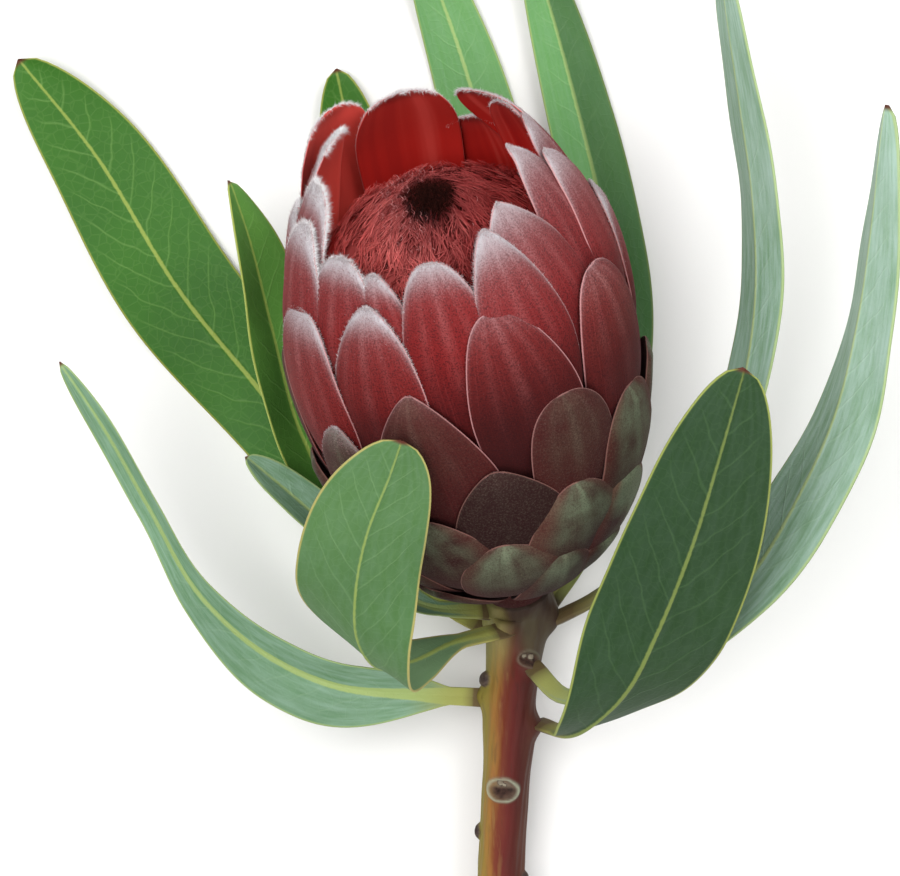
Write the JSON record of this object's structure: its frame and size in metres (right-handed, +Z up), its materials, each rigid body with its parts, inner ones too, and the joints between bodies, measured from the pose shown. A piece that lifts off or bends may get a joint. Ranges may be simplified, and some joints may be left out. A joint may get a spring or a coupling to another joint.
{
  "type": "protea flower",
  "caption": "Cut pink protea lying down: a cup of overlapping bracts round a dome of florets with a dark tuft, on a short stem with long leaves.",
  "frame": {"origin": "middle of the flat spot on the underside of the leaf under the flower head, where the lying flower rests on the surface", "axes": "+Y along the surface from the stem's cut end to the flower head, +Z up from the surface, +X to the right as seen from above with the head away from the viewer"},
  "size_m": [0.1692, 0.2578, 0.0824],
  "materials": {
    "stem": "smooth green-brown skin with fine lengthwise streaks",
    "bracts": "velvety, with pale down at the tips and margins",
    "florets": "fine silky hairs",
    "dark_tuft": "fine dark hairs",
    "leaf": "smooth, leathery, with a soft sheen"
  },
  "bodies": {
    "root": {"stem": "stem", "bracts": "bracts", "florets": "florets", "dark_tuft": "dark_tuft", "leaf_long_left": "leaf", "leaf_narrow_left": "leaf", "leaf_under_left": "leaf", "leaf_under_middle": "leaf", "leaf_under_right": "leaf", "leaf_right": "leaf", "leaf_far_right": "leaf", "leaf_front_right": "leaf", "leaf_front_left": "leaf", "leaf_low_left": "leaf", "leaf_small_left": "leaf"}
  },
  "joints": []
}
